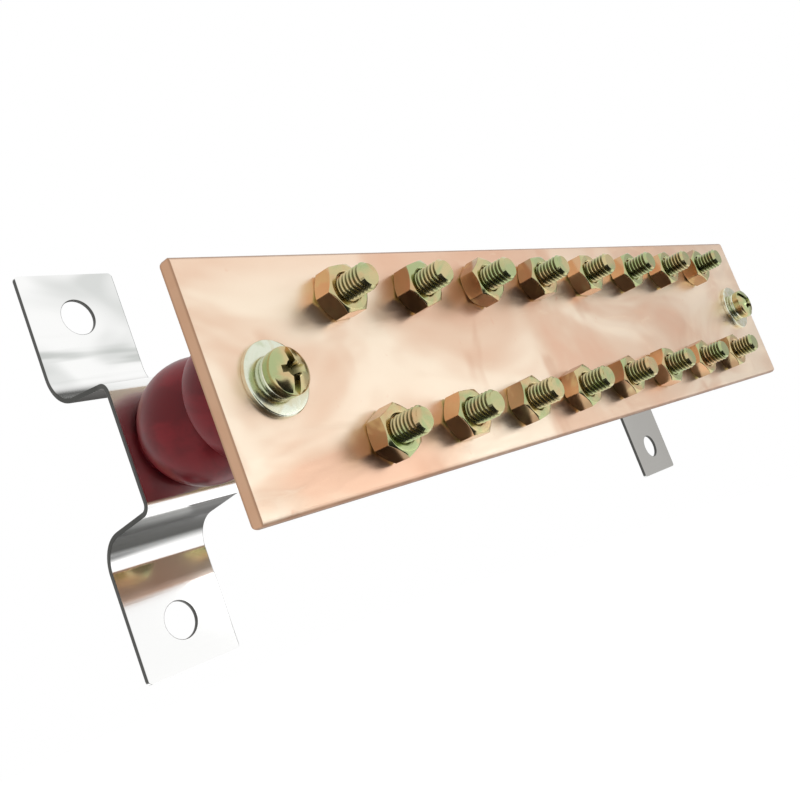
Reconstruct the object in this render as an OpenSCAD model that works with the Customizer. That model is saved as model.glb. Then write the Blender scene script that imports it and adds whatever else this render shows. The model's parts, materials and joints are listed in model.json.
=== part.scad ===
// Rack grounding busbar: a punched copper bar with two rows of bolts and nuts,
// held off the wall by two insulators on folded steel brackets.
// X runs along the bar and +Z is up. The brackets' feet lie in the plane y = 0,
// the bar stands in front of it towards -Y, and the origin is the centre of the four wall holes.

/* [Copper bar] */
// Length of the bar
bar_length = 250; // [240:1:300]
// Width of the bar, from its lower long edge to its upper one
bar_width = 50; // [46:1:60]
// Thickness of the bar
bar_thickness = 3; // [2.6:0.1:4]
// Radius that rounds the long edges
bar_edge_radius = 1.2; // [0.5:0.1:1.2]
// Radius that rounds the four corners of the bar's outline
bar_corner_radius = 0.8; // [0.3:0.1:2]

/* [Connection bolts] */
// Bolts in each row
bolt_columns = 8; // [2:1:8]
// Distance between neighbouring bolts of a row
bolt_pitch = 25; // [20:0.5:26]
// Distance between the two rows
row_spacing = 30; // [26:1:34]
// Outside diameter of the bolts' thread
bolt_diameter = 5.9; // [5.8:0.05:5.95]
// Diameter of the punched bolt holes
bolt_hole_diameter = 6.6; // [6.4:0.1:7]
// Length of thread that stands in front of the bar
bolt_reach = 11; // [9:0.5:18]
// Width across the flats of bolt heads and nuts
hex_width = 10; // [9.8:0.1:11]
// Height of a bolt head
bolt_head_height = 4; // [3.6:0.1:4.5]
// Height of a nut
nut_height = 5; // [4.5:0.1:5.5]
// Diameter of a nut's threaded bore
nut_bore = 6; // [6:0.05:6.2]
// Diameter of the countersink at each end of a nut's bore
nut_countersink = 7; // [6.4:0.1:7.4]

/* [End and bracket screws] */
// Distance from the bar's end to the end screw's axis
screw_inset = 14; // [12:0.5:18]
// Outside diameter of the screws' thread
screw_diameter = 4.9; // [4.8:0.05:4.95]
// Diameter of the screw holes in the bar and the brackets
screw_hole_diameter = 5.5; // [5.3:0.1:6]
// Diameter of the pan head
pan_head_diameter = 9.5; // [9:0.1:10]
// Height of the pan head
pan_head_height = 3.7; // [3.4:0.1:4]
// Shank length of the end screws
end_screw_length = 12; // [10:1:13]
// Shank length of the bracket screws
bracket_screw_length = 10; // [8:1:11]
// Outside diameter of the wide flat washers under the end screws
wide_washer_diameter = 15; // [12:0.5:16]
// Thickness of the wide flat washers
wide_washer_thickness = 1.2; // [1:0.1:1.6]
// Outside diameter of the small flat washers inside the brackets
small_washer_diameter = 10; // [9.5:0.5:11]
// Thickness of the small flat washers
small_washer_thickness = 1; // [0.8:0.1:1.2]
// Outside diameter of the split spring washers
spring_washer_diameter = 9; // [8.6:0.1:9.4]
// Thickness of the split spring washers
spring_washer_thickness = 1.3; // [1.1:0.1:1.5]

/* [Insulators] */
// Height of an insulator, from bracket to bar
insulator_height = 28; // [25:1:35]
// Largest diameter of an insulator
insulator_diameter = 25.4; // [24:0.2:28]
// Diameter at the bottom of the groove between the two swollen rings
insulator_waist = 18; // [16:0.2:20]
// Diameter of the short collar at each end
insulator_collar = 17; // [15:0.5:18]
// Distance from the bracket to the middle of the groove
groove_distance = 18.5; // [16:0.1:19.5]
// Height of the groove between the two swollen rings
groove_height = 1.8; // [1.2:0.1:3]
// Height of the collar at the bracket
back_collar_height = 1; // [0.6:0.1:3]
// Height of the collar at the bar
front_collar_height = 1; // [0.6:0.1:2]
// Radius that rounds the rims of the swollen rings
lobe_fillet = 1.2; // [0.6:0.1:1.6]
// Outside diameter of the threaded inserts
insert_diameter = 7.5; // [7:0.1:8]
// Length of the threaded inserts
insert_length = 8; // [7:0.5:9]

/* [Brackets] */
// Width of the bracket strip
bracket_width = 24; // [20:1:26]
// Overall height of a bracket, from tip to tip of its feet
bracket_height = 88; // [84:1:110]
// Thickness of the bracket sheet
bracket_sheet = 1; // [0.8:0.1:2]
// Distance from the wall to the front of the raised middle
bracket_rise = 19; // [17:0.5:26]
// Length of the flat part of the raised middle
bracket_flat = 22.4; // [21:0.2:24]
// Inside radius of the two front bends
front_bend_radius = 1.5; // [1:0.1:2]
// Inside radius of the two bends at the feet
foot_bend_radius = 6.5; // [3:0.1:7]
// Angle at which the legs lean outwards
leg_lean = 6; // [2:1:12]
// Diameter of the wall holes
wall_hole_diameter = 8; // [6:0.5:9]
// Distance between the two wall holes of a bracket
wall_hole_spacing = 68; // [66:1:76]
// Radius that rounds the feet's corners
foot_corner_radius = 1; // [0.5:0.1:3]

/* [Hidden] */
$fn = 64;
SIDES = ["left", "right"];
COLUMNS = [1:bolt_columns];

// Turn of each nut about its bolt, in degrees, as it was left after tightening.
NUT_TURNS_TOP = [5, 12, 37, 2, 55, 10, 8, 33];
NUT_TURNS_BOTTOM = [25, 58, 9, 14, 9, 50, 12, 4];

// Planes across the depth, measured from the wall.
web_back = bracket_rise - bracket_sheet;
bar_back = bracket_rise + insulator_height;
bar_front = bar_back + bar_thickness;
end_seat = bar_front + wide_washer_thickness;
end_head_seat = end_seat + spring_washer_thickness;
bracket_spring_seat = web_back - small_washer_thickness;
bracket_head_seat = bracket_spring_seat - spring_washer_thickness;

// The two rings of an insulator, by their heights and the distances from the bracket to their middles.
groove_back = groove_distance - groove_height / 2;
groove_front = groove_distance + groove_height / 2;
back_lobe_height = groove_back - back_collar_height;
back_lobe_middle = (groove_back + back_collar_height) / 2;
front_lobe_height = insulator_height - front_collar_height - groove_front;
front_lobe_middle = groove_front + front_lobe_height / 2;

// Places along the bar and across it.
screw_x = bar_length / 2 - screw_inset;
hex_radius = hex_width / 2 / cos(30);
hex_chamfer = 0.25;
bend_steps = 18;
cross_reach = 3.1;
cross_depth = 2.3;
spring_slit = 60;
thread_clearance = 0.1;
held_step = 0.25;
fit_gap = 0.02;
end_lead = 0.8;
overlap = 0.01;

function side_sign(side) = side == "left" ? -1 : 1;
function column_x(i) = (i - (bolt_columns + 1) / 2) * bolt_pitch;
function row_z(row) = row == "top" ? row_spacing / 2 : -row_spacing / 2;
function head_turn(i) = (i * 17) % 60;

// Puts a child that points along +Z so that it points away from the wall,
// with its own zero at the given distance from the wall.
module facing_out(x, z, distance) {
    translate([x, -distance, z])
        rotate([90, 0, 0])
            children();
}

// The same, pointing towards the wall.
module facing_wall(x, z, distance) {
    translate([x, -distance, z])
        rotate([-90, 0, 0])
            children();
}

// ---------------------------------------------------------------- copper bar

// Section of the rolled bar, with its long edges rounded.
module bar_section() {
    core = bar_width / 2 - bar_edge_radius;
    belly = bar_thickness / 2 - bar_edge_radius;
    square([2 * core, bar_thickness], center = true);
    square([bar_width, 2 * belly], center = true);
    for (a = [-1, 1], b = [-1, 1])
        translate([a * core, b * belly])
            circle(bar_edge_radius);
}

// Outline of the cut bar seen from the front.
module bar_outline() {
    a = bar_length / 2 - bar_corner_radius;
    b = bar_width / 2 - bar_corner_radius;
    square([2 * a, bar_width], center = true);
    square([bar_length, 2 * b], center = true);
    for (i = [-1, 1], j = [-1, 1])
        translate([i * a, j * b])
            circle(bar_corner_radius);
}

module copper_bar() {
    middle = bar_back + bar_thickness / 2;
    color([0.90, 0.66, 0.50])
        difference() {
            intersection() {
                translate([-bar_length / 2 - 1, -middle, 0])
                    rotate([90, 0, 90])
                        rotate(90)
                            linear_extrude(bar_length + 2)
                                bar_section();
                facing_out(0, 0, bar_back - 1)
                    linear_extrude(bar_thickness + 2)
                        bar_outline();
            }
            for (i = COLUMNS, row = ["top", "bottom"])
                facing_out(column_x(i), row_z(row), bar_back - 1)
                    cylinder(h = bar_thickness + 2, d = bolt_hole_diameter);
            for (s = SIDES)
                facing_out(side_sign(s) * screw_x, 0, bar_back - 1)
                    cylinder(h = bar_thickness + 2, d = screw_hole_diameter);
        }
}

// ---------------------------------------------------------------- bolts and nuts

// Hexagon prism whose corners are turned off at the ends that ask for it.
module chamfered_hex(height, chamfer_low, chamfer_high) {
    low = chamfer_low ? hex_chamfer : 0;
    high = chamfer_high ? hex_chamfer : 0;
    face = hex_width / 2 - hex_chamfer;
    rim = hex_radius + 0.1;
    drop = (rim - face) * tan(30);
    intersection() {
        cylinder(h = height, r = hex_radius, $fn = 6);
        rotate_extrude()
            polygon([
                [0, 0],
                [low > 0 ? face : rim, 0],
                [rim, low > 0 ? drop : 0],
                [rim, height - (high > 0 ? drop : 0)],
                [high > 0 ? face : rim, height],
                [0, height]
            ]);
    }
}

// Threaded rod drawn at its outside diameter, with its free end tapered.
// The stretch that other pieces hold is drawn a little thinner, at the middle of its thread.
module shank(length, held, diameter) {
    thread_r = diameter / 2;
    held_r = thread_r - held_step;
    rotate_extrude()
        polygon([
            [0, 0],
            [held_r, 0],
            [held_r, held],
            [thread_r, held],
            [thread_r, length - end_lead],
            [thread_r - end_lead / 2, length],
            [0, length]
        ]);
}

// Bolt put through from behind: its head lies on the back of the bar.
module bolt(row, i) {
    color([0.80, 0.74, 0.45]) {
        facing_wall(column_x(i), row_z(row), bar_back)
            rotate(head_turn(i))
                chamfered_hex(bolt_head_height, false, true);
        facing_out(column_x(i), row_z(row), bar_back - overlap)
            shank(
                bar_thickness + bolt_reach + overlap,
                bar_thickness + nut_height + overlap,
                bolt_diameter
            );
    }
}

module nut(row, i) {
    turn = row == "top" ? NUT_TURNS_TOP[i - 1] : NUT_TURNS_BOTTOM[i - 1];
    bore = nut_bore / 2;
    sink = nut_countersink / 2;
    depth = sink - bore;
    color([0.84, 0.80, 0.52])
        facing_out(column_x(i), row_z(row), bar_front)
            rotate(turn)
                difference() {
                    chamfered_hex(nut_height, true, true);
                    rotate_extrude()
                        polygon([
                            [0, -1],
                            [sink + 1, -1],
                            [bore, depth],
                            [bore, nut_height - depth],
                            [sink + 1, nut_height + 1],
                            [0, nut_height + 1]
                        ]);
                }
}

// ---------------------------------------------------------------- screws and washers

// Cross recess cut down from the top of the head: two wings and a tapered core.
module cross_recess(width) {
    floor_half = 1.2;
    for (a = [0, 90])
        rotate([90, 0, a])
            translate([0, 0, -width / 2])
                linear_extrude(width)
                    polygon([
                        [-cross_reach, 0.5],
                        [-cross_reach, 0],
                        [-floor_half, -cross_depth],
                        [floor_half, -cross_depth],
                        [cross_reach, 0],
                        [cross_reach, 0.5]
                    ]);
    translate([0, 0, -cross_depth])
        cylinder(h = cross_depth, r1 = floor_half - 0.2, r2 = floor_half + 0.6);
}

// Pan head seated at zero, with its shank pointing down. It takes a flat or a cross
// screwdriver: one straight slot runs from rim to rim through the cross recess.
module pan_screw(length, turn) {
    edge = 2;
    dome = 9;
    slot_width = 1.5;
    slot_depth = 1.5;
    r = pan_head_diameter / 2;
    h = pan_head_height;
    difference() {
        rotate_extrude()
            intersection() {
                union() {
                    square([r - edge, h]);
                    square([r, h - edge]);
                    translate([r - edge, h - edge])
                        circle(edge);
                }
                translate([0, h - dome])
                    circle(dome);
                square([r + 1, h + 1]);
            }
        translate([0, 0, h])
            rotate(turn) {
                cross_recess(slot_width - 0.1);
                cube([slot_width, pan_head_diameter + 2, 2 * slot_depth], center = true);
            }
    }
    translate([0, 0, overlap])
        mirror([0, 0, 1])
            shank(length + overlap, overlap, screw_diameter);
}

module flat_washer(diameter, thickness) {
    difference() {
        cylinder(h = thickness, d = diameter);
        translate([0, 0, -1])
            cylinder(h = thickness + 2, d = screw_diameter + 0.4);
    }
}

// Split ring: the slit runs through the ring at a slant.
module spring_washer() {
    difference() {
        cylinder(h = spring_washer_thickness, d = spring_washer_diameter);
        translate([0, 0, -1])
            cylinder(h = spring_washer_thickness + 2, d = screw_diameter + 0.3);
        rotate(spring_slit)
            translate([spring_washer_diameter / 2, 0, spring_washer_thickness / 2])
                rotate([25, 0, 0])
                    cube([spring_washer_diameter, 0.8, 4], center = true);
    }
}

module end_screw(side) {
    color([0.80, 0.76, 0.50])
        facing_out(side_sign(side) * screw_x, 0, end_head_seat)
            pan_screw(end_screw_length, side == "left" ? -5 : 40);
}

module end_spring_washer(side) {
    color([0.72, 0.70, 0.52])
        facing_out(side_sign(side) * screw_x, 0, end_seat)
            spring_washer();
}

module end_flat_washer(side) {
    color([0.82, 0.82, 0.72])
        facing_out(side_sign(side) * screw_x, 0, bar_front)
            flat_washer(wide_washer_diameter, wide_washer_thickness);
}

module bracket_screw(side) {
    color([0.80, 0.76, 0.50])
        facing_wall(side_sign(side) * screw_x, 0, bracket_head_seat)
            pan_screw(bracket_screw_length, side == "left" ? 20 : -30);
}

module bracket_spring_washer(side) {
    color([0.72, 0.70, 0.52])
        facing_wall(side_sign(side) * screw_x, 0, bracket_spring_seat)
            spring_washer();
}

module bracket_flat_washer(side) {
    color([0.82, 0.82, 0.72])
        facing_wall(side_sign(side) * screw_x, 0, web_back)
            flat_washer(small_washer_diameter, small_washer_thickness);
}

// ---------------------------------------------------------------- insulators

// Half section of one swollen ring of the moulded body, centred on its own middle:
// a slice of a ball whose two rims are rounded.
module lobe_section(height) {
    ball = insulator_diameter / 2;
    half = height / 2;
    fillet_z = half - lobe_fillet;
    fillet_r = sqrt(pow(ball - lobe_fillet, 2) - pow(fillet_z, 2));
    tangent_z = fillet_z * ball / (ball - lobe_fillet);
    intersection() {
        circle(ball, $fn = 128);
        union() {
            translate([0, -tangent_z])
                square([insulator_diameter, 2 * tangent_z]);
            translate([0, -half])
                square([fillet_r, height]);
            for (m = [-1, 1])
                translate([fillet_r, m * fillet_z])
                    circle(lobe_fillet);
        }
    }
}

// Half section of the whole body: radius across, distance from the bracket up.
module insulator_section() {
    square([insulator_collar / 2, back_collar_height + overlap]);
    translate([0, insulator_height - front_collar_height - overlap])
        square([insulator_collar / 2, front_collar_height + overlap]);
    translate([0, back_lobe_middle])
        square([insulator_waist / 2, front_lobe_middle - back_lobe_middle]);
    translate([0, back_lobe_middle])
        lobe_section(back_lobe_height);
    translate([0, front_lobe_middle])
        lobe_section(front_lobe_height);
}

module insulator(side) {
    pocket = insert_diameter + 2 * fit_gap;
    color([0.42, 0.08, 0.10])
        facing_out(side_sign(side) * screw_x, 0, bracket_rise)
            difference() {
                rotate_extrude($fn = 96)
                    insulator_section();
                translate([0, 0, -1])
                    cylinder(h = insert_length + 1, d = pocket);
                translate([0, 0, insulator_height - insert_length])
                    cylinder(h = insert_length + 1, d = pocket);
            }
}

// Threaded sleeve moulded into one end of the insulator.
module insert() {
    difference() {
        cylinder(h = insert_length, d = insert_diameter);
        translate([0, 0, -1])
            cylinder(h = insert_length + 2, d = screw_diameter + thread_clearance);
    }
}

module insert_front(side) {
    color([0.78, 0.62, 0.30])
        facing_wall(side_sign(side) * screw_x, 0, bar_back)
            insert();
}

module insert_back(side) {
    color([0.78, 0.62, 0.30])
        facing_out(side_sign(side) * screw_x, 0, bracket_rise)
            insert();
}

// ---------------------------------------------------------------- brackets

// Points along an arc of the folded section, from one direction to another.
function arc(centre, radius, from, to) = [
    for (i = [0:bend_steps])
        let (a = from + (to - from) * i / bend_steps)
            centre + radius * [cos(a), sin(a)]
];

// The same points on the other side of the middle, in the opposite order.
function mirrored(points) = [
    for (i = [len(points) - 1:-1:0])
        [-points[i][0], points[i][1]]
];

// Section of the folded strip: height across, distance from the wall up.
// The legs lean outwards from the raised middle and run into the feet.
module strip_section() {
    tip = bracket_height / 2;
    front_outside = front_bend_radius + bracket_sheet;
    foot_outside = foot_bend_radius + bracket_sheet;
    front_centre = [bracket_flat / 2, bracket_rise - front_outside];
    normal = [cos(leg_lean), sin(leg_lean)];
    along = [sin(leg_lean), -cos(leg_lean)];
    leg_top = front_centre + front_outside * normal;
    leg_length = (leg_top[1] - foot_outside + foot_bend_radius * sin(leg_lean)) / cos(leg_lean);
    foot_centre = leg_top + leg_length * along + foot_bend_radius * normal;
    front = concat(
        arc(front_centre, front_outside, 90, leg_lean),
        arc(foot_centre, foot_bend_radius, 180 + leg_lean, 270),
        [[tip, bracket_sheet]]
    );
    back = concat(
        [[tip, 0]],
        arc(foot_centre, foot_outside, 270, 180 + leg_lean),
        arc(front_centre, front_bend_radius, leg_lean, 90)
    );
    polygon(concat(mirrored(front), front, back, mirrored(back)));
}

// Outline of the strip seen from the front.
module strip_outline() {
    a = bracket_width / 2 - foot_corner_radius;
    b = bracket_height / 2 - foot_corner_radius;
    square([2 * a, bracket_height], center = true);
    square([bracket_width, 2 * b], center = true);
    for (i = [-1, 1], j = [-1, 1])
        translate([i * a, j * b])
            circle(foot_corner_radius);
}

module bracket(side) {
    color([0.80, 0.81, 0.82])
        difference() {
            intersection() {
                translate([side_sign(side) * screw_x - bracket_width / 2 - 1, 0, 0])
                    rotate([90, 0, 90])
                        rotate(90)
                            linear_extrude(bracket_width + 2)
                                strip_section();
                facing_out(side_sign(side) * screw_x, 0, -1)
                    linear_extrude(bracket_rise + 2)
                        strip_outline();
            }
            facing_out(side_sign(side) * screw_x, 0, web_back - 1)
                cylinder(h = bracket_sheet + 2, d = screw_hole_diameter);
            for (m = [-1, 1])
                facing_out(side_sign(side) * screw_x, m * wall_hole_spacing / 2, -1)
                    cylinder(h = bracket_sheet + 2, d = wall_hole_diameter);
        }
}

// ---------------------------------------------------------------- nodes

copper_bar();
for (i = COLUMNS) {
    bolt("top", i);
    bolt("bottom", i);
    nut("top", i);
    nut("bottom", i);
}
for (s = SIDES) {
    end_screw(s);
    end_spring_washer(s);
    end_flat_washer(s);
    insulator(s);
    insert_front(s);
    insert_back(s);
    bracket(s);
    bracket_screw(s);
    bracket_spring_washer(s);
    bracket_flat_washer(s);
}
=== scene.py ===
import json
from math import asin, atan2, cos, hypot, pi, radians, sin, sqrt, tan, tau

import bmesh
import bpy
from bpy.props import FloatProperty, FloatVectorProperty, IntProperty, PointerProperty
from bpy.types import Operator, Panel, PropertyGroup
from mathutils import Matrix, Vector


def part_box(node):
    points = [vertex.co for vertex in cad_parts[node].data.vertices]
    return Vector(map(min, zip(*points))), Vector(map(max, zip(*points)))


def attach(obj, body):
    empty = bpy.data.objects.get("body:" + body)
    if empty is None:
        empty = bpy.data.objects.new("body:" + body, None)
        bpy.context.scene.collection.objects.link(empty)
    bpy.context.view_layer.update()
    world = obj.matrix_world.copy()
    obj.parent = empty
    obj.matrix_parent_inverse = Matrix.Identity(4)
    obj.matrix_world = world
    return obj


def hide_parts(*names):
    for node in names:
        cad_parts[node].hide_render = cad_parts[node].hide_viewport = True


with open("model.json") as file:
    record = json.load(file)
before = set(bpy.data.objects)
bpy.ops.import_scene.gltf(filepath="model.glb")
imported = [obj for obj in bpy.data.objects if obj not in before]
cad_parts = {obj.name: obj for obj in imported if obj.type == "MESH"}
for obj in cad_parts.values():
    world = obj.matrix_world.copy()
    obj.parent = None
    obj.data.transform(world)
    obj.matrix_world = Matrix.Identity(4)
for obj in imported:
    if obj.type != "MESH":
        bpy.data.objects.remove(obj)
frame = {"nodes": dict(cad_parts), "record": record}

bl_info = {
    "name": "Rack Grounding Busbar",
    "version": (1, 0, 0),
    "blender": (4, 5, 0),
    "location": "3D View > Sidebar > Busbar",
    "description": "Dresses the grounding busbar's frame with threads, nuts, insulators and finishes",
    "category": "Object",
}

MM = 0.001
SIDES = ("left", "right")
MERGE_DISTANCE = 0.002 * MM
CLEARANCE = 0.05 * MM
HEX_FLATS = 10.0 * MM
HEX_FACETS = 48
CORNER_SLOPE = radians(30)
FLAT_WASHER_BORE = 2.65 * MM
SPRING_WASHER_BORE = 2.6 * MM
SCREW_RADIUS, SCREW_REACH = 2.3 * MM, 9.0 * MM
THREAD_IN_NUT = 2.0 * MM
ROWS_PER_TURN = 8
FLOOR_GLOW = 0.45
WHITE = (1.0, 1.0, 1.0, 1.0)
DRIVER_TURNS = {"end_screw_left": -5.0, "end_screw_right": 40.0,
                "bracket_screw_left": 20.0, "bracket_screw_right": -30.0}


# --- facts read from the frame

def named(start):
    """Names of the frame's nodes that begin this way, in order."""
    return sorted(name for name in frame["nodes"] if name.startswith(start))


def size_of(node):
    """Length, depth and height of a node's box, in metres."""
    low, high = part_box(node)
    return high - low


def axis_of(node):
    """Place of a fastener's axis across the bar, as x and z."""
    low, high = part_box(node)
    return (low.x + high.x) / 2, (low.z + high.z) / 2


def corner_turn(node):
    """Angle from +X towards +Z of one corner of a node's hexagon, below 60 degrees."""
    x, z = axis_of(node)
    far = max(frame["nodes"][node].data.vertices,
              key=lambda v: (v.co.x - x) ** 2 + (v.co.z - z) ** 2)
    return atan2(far.co.z - z, far.co.x - x) % radians(60)


def stated(size):
    """Length of this name in the first mount of the record that states it."""
    return next(m["dims"][size] for m in frame["record"]["mounts"] if size in m["dims"]) * MM


BAR_LOW, BAR_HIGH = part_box("copper_bar")
BAR_MIDDLE = (BAR_LOW.y + BAR_HIGH.y) / 2
NUT = size_of("nut_top_1")
BOLT_LOW, BOLT_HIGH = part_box("bolt_top_1")
INSULATOR = size_of("insulator_left")
BRACKET = size_of("bracket_left")
BRACKET_X = axis_of("bracket_right")[0]
WEB_FRONT = -BRACKET.y
LEG_FRONT, LEG_BACK = WEB_FRONT + 2.2 * MM, -1.25 * MM
STUD_RADIUS = stated("stud_r_mm")
WALL_HOLE_RADIUS = stated("hole_r_mm")
WALL_HOLE_Z = stated("spacing_y_mm") / 2


# --- settings

def length(label, default, words):
    """Length setting, with its default in millimetres."""
    return FloatProperty(name=label, description=words, default=default * MM, min=0.0,
                         unit="LENGTH", precision=5)


def colour(label, default, words):
    return FloatVectorProperty(name=label, description=words, default=default, size=3,
                               min=0.0, max=1.0, subtype="COLOR")


class FastenerSizes(PropertyGroup):
    thread_pitch: length("Thread pitch", 1.0, "Distance from one crest to the next")
    thread_depth: length("Thread depth", 0.58, "Depth of the thread below its crests")
    tip_radius: length("Tip radius", 2.3, "Radius of the flat at a stud's free end")
    tip_lead: length("Tip lead", 0.8, "Length of the taper at a stud's free end")
    thread_sides: IntProperty(name="Thread sides", description="Facets around a stud",
                              default=36, min=12, max=72)
    corner_cut: length("Corner cut", 0.25, "How far the turned face stays inside the flats")
    countersink: length("Countersink radius", 3.5, "Radius of the countersink at each end of a nut")
    edge_round: length("Edge round", 0.12, "Width of the rounding along edges of nuts and heads")
    dome_radius: length("Dome radius", 9.0, "Radius of the top of a pan head")
    rim_radius: length("Rim radius", 2.0, "Radius that rounds a pan head into its side")
    slot_width: length("Slot width", 1.5, "Width of a pan head's slot and of its cross")
    slot_depth: length("Slot depth", 1.5, "Depth of the straight slot")
    cross_reach: length("Cross reach", 3.1, "Half the width of the cross at the top of the dome")
    cross_floor: length("Cross floor", 1.2, "Half the width of the cross at its bottom")
    cross_depth: length("Cross depth", 2.3, "Depth of the cross recess")
    slit_angle: FloatProperty(name="Slit angle", description="Place of the slit in a spring washer",
                              default=radians(60), subtype="ANGLE")
    slit_width: length("Slit width", 0.8, "Gap between the ends of a spring washer")


class InsulatorSizes(PropertyGroup):
    waist_radius: length("Waist radius", 9.0, "Radius at the bottom of the groove")
    collar_radius: length("Collar radius", 8.5, "Radius of the collar at each end")
    back_collar: length("Back collar", 1.0, "Height of the collar at the bracket")
    front_collar: length("Front collar", 1.0, "Height of the collar at the bar")
    groove_distance: length("Groove distance", 18.5, "From the bracket to the middle of the groove")
    groove_height: length("Groove height", 1.8, "Height of the groove between the rings")
    rim_fillet: length("Rim fillet", 1.2, "Radius that rounds the rims of the rings")
    around: IntProperty(name="Sides", description="Facets around an insulator",
                        default=144, min=24, max=256)


class Finishes(PropertyGroup):
    copper: colour("Copper", (0.84, 0.61, 0.45), "Polished face of the bar")
    # painted reflection: the pale and deep clouds on the bar stand in for the room mirrored, blurred, in
    # its polished face
    copper_pale: colour("Pale copper", (0.98, 0.83, 0.66), "Lightest clouds on the bar")
    copper_deep: colour("Deep copper", (0.80, 0.46, 0.31), "Warmest clouds and smudges on the bar")
    copper_stain: colour("Copper stain", (0.62, 0.31, 0.18), "Reddish smudges on the bar")
    # painted shade: dark colour along the long edges and the front and back rims of the sawn ends, standing
    # in for the dark reflection on the rounded edges
    copper_edge: colour("Painted edge shade", (0.25, 0.125, 0.065), "Darkened long edges of the bar")
    copper_sawn: colour("Sawn end", (0.52, 0.30, 0.18), "Cut ends of the bar")
    zinc_yellow: colour("Yellow zinc", (0.62, 0.51, 0.27), "Passivated plating of nuts and screws")
    zinc_green: colour("Greenish zinc", (0.42, 0.48, 0.24), "Green cast of the plating")
    zinc_orange: colour("Coppery zinc", (0.66, 0.36, 0.20), "Warm cast of the plating")
    # painted reflection: the nuts' side flats are made brown and orange, for the copper bar and dark room
    # they mirror
    zinc_brown: colour("Brown zinc", (0.36, 0.19, 0.11), "Darkest cast of the nuts' flats")
    # painted shade: darkens the thread roots and the driver recesses
    thread_root: colour("Thread root", (0.12, 0.105, 0.045), "Painted shade at the bottom of the threads and recesses")
    zinc_pale: colour("Pale zinc", (0.74, 0.77, 0.64), "Plating of the washers")
    steel: colour("Stainless", (0.96, 0.96, 0.95), "Polished stainless sheet")
    # painted reflection: grey clouds on the ears and grey bands near the bends; the whole right bracket is
    # also duller grey
    steel_dull: colour("Dull stainless", (0.52, 0.54, 0.52), "Clouds and painted reflected bands on the sheet")
    # partly painted shade: sheared edges and punched hole walls are near black, for their own cut surface
    # and the shade on them
    steel_cut: colour("Sheared edge", (0.085, 0.085, 0.08), "Cut edges of the sheet")
    # painted reflection: the legs are darkened where they mirror the dark room below
    leg_front: colour("Leg, front", (0.27, 0.27, 0.26), "Painted dark reflection on the legs at the raised middle")
    leg_back: colour("Leg, back", (0.065, 0.065, 0.06), "Painted dark reflection on the legs at the feet")
    maroon: colour("Maroon", (0.140, 0.007, 0.011), "Moulded insulator")
    brass: colour("Brass", (0.76, 0.55, 0.24), "Threaded inserts")


class StageSettings(PropertyGroup):
    azimuth: FloatProperty(name="Azimuth", description="Direction the camera stands in, 0 in front",
                           default=radians(-51.17), subtype="ANGLE")
    elevation: FloatProperty(name="Elevation", description="Height of the camera above the aim",
                             default=radians(-7.59), subtype="ANGLE")
    roll: FloatProperty(name="Roll", description="Turn of the camera about its own axis",
                        default=radians(20.82), subtype="ANGLE")
    distance: length("Distance", 209.5, "Distance from the camera to the aim")
    aim: FloatVectorProperty(name="Aim", description="Point the camera looks at", size=3,
                             default=(-0.0791, -0.050, -0.0083), subtype="TRANSLATION")
    lens: FloatProperty(name="Lens", description="Focal length in millimetres on a 36 mm sensor",
                        default=46.33, min=10.0)
    floor_gap: length("Floor gap", 450.0, "How far the floor lies below the brackets")
    world_light: FloatProperty(name="World light", description="Strength of the soft room light",
                               default=0.75, min=0.0)


# --- node trees

class Term:
    """A value in a node tree. Sums written with it add the Math nodes they need."""

    def __init__(self, net, socket):
        self.net = net
        self.socket = socket

    def out(self, key):
        """Another output of the same node."""
        return Term(self.net, self.socket.node.outputs[key])

    def __add__(self, other):
        return self.net.maths("ADD", self, other)

    def __sub__(self, other):
        return self.net.maths("SUBTRACT", self, other)

    def __rsub__(self, other):
        return self.net.maths("SUBTRACT", other, self)

    def __mul__(self, other):
        return self.net.maths("MULTIPLY", self, other)

    def __truediv__(self, other):
        return self.net.maths("DIVIDE", self, other)

    def __abs__(self):
        return self.net.maths("ABSOLUTE", self)

    __radd__ = __add__
    __rmul__ = __mul__


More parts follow.
